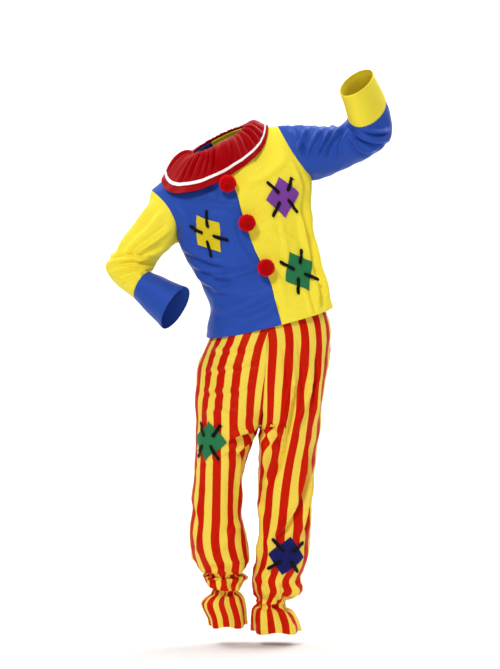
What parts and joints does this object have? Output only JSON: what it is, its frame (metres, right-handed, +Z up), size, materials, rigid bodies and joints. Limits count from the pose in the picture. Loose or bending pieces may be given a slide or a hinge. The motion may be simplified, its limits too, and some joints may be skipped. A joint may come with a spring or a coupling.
{
  "type": "clown costume",
  "caption": "Worn two-piece clown costume: two-colour long-sleeved tunic with gathered ruff collar, pompoms and patches, over striped trousers gathered at the ankles.",
  "frame": {"origin": "middle of the neck opening, where the neck and shoulders of the wearer hold the costume up", "axes": "+Z up the body to the neck, -Y out of the front, +X to the left side of the wearer"},
  "size_m": [0.6553, 0.2648, 1.289],
  "materials": {
    "blue_satin": "soft satin sheen",
    "yellow_satin": "soft satin sheen",
    "red_satin": "gathered satin",
    "white_ribbon": "satin ribbon",
    "red_pile": "fluffy yarn pile",
    "striped_satin": "red and yellow vertical stripes, satin sheen",
    "yellow_felt": "matt felt",
    "purple_felt": "matt felt",
    "green_felt": "matt felt",
    "navy_felt": "matt felt",
    "black_felt": "matt felt"
  },
  "bodies": {
    "root": {"tunic_front_right": "blue_satin", "tunic_front_left": "yellow_satin", "tunic_back_right": "blue_satin", "tunic_back_left": "yellow_satin", "sleeve_right": "yellow_satin", "sleeve_left": "blue_satin", "cuff_right": "blue_satin", "cuff_left": "yellow_satin", "collar": "red_satin", "collar_ribbon": "white_ribbon", "trousers_front_right": "striped_satin", "trousers_front_left": "striped_satin", "trousers_back_right": "striped_satin", "trousers_back_left": "striped_satin", "pompom_top": "red_pile", "pompom_middle": "red_pile", "pompom_bottom": "red_pile", "patch_chest_right": "yellow_felt", "patch_chest_right_bar_top": "black_felt", "patch_chest_right_bar_right": "black_felt", "patch_chest_right_bar_bottom": "black_felt", "patch_chest_right_bar_left": "black_felt", "patch_chest_left": "purple_felt", "patch_chest_left_bar_top": "black_felt", "patch_chest_left_bar_right": "black_felt", "patch_chest_left_bar_bottom": "black_felt", "patch_chest_left_bar_left": "black_felt", "patch_belly_left": "green_felt", "patch_belly_left_bar_top": "black_felt", "patch_belly_left_bar_right": "black_felt", "patch_belly_left_bar_bottom": "black_felt", "patch_belly_left_bar_left": "black_felt", "patch_thigh_right": "green_felt", "patch_thigh_right_bar_top": "black_felt", "patch_thigh_right_bar_right": "black_felt", "patch_thigh_right_bar_bottom": "black_felt", "patch_thigh_right_bar_left": "black_felt", "patch_shin_left": "navy_felt", "patch_shin_left_bar_top": "black_felt", "patch_shin_left_bar_right": "black_felt", "patch_shin_left_bar_bottom": "black_felt", "patch_shin_left_bar_left": "black_felt"}
  },
  "joints": []
}
